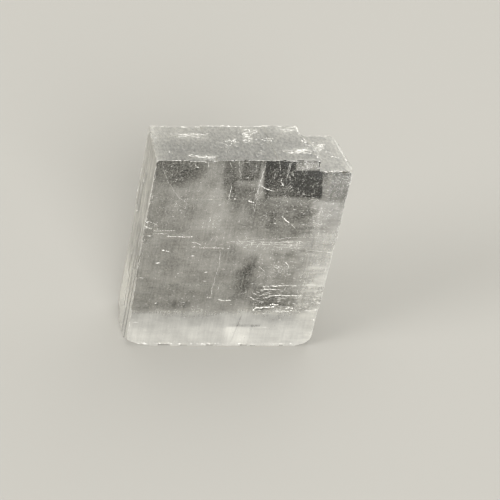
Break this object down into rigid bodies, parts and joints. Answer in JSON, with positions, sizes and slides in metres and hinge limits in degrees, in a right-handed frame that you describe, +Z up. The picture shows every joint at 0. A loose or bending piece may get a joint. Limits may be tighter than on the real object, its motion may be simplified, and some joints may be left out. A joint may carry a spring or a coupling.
{
  "type": "calcite specimen",
  "caption": "Clear calcite cleavage rhomb standing on a narrow face, with a split-off top layer, worn corners and chipped edges.",
  "frame": {"origin": "bottom centre of the bounding box, on the plane the crystal stands on", "axes": "+X along the long top edge, left to right; -Y towards the viewer of the broad front face; +Z up"},
  "size_m": [0.0564, 0.0294, 0.0437],
  "materials": {
    "clear_calcite": "glassy cleavage faces with fine scratches and steps, slightly milky inside"
  },
  "bodies": {
    "root": {"calcite_crystal": "clear_calcite"}
  },
  "joints": []
}
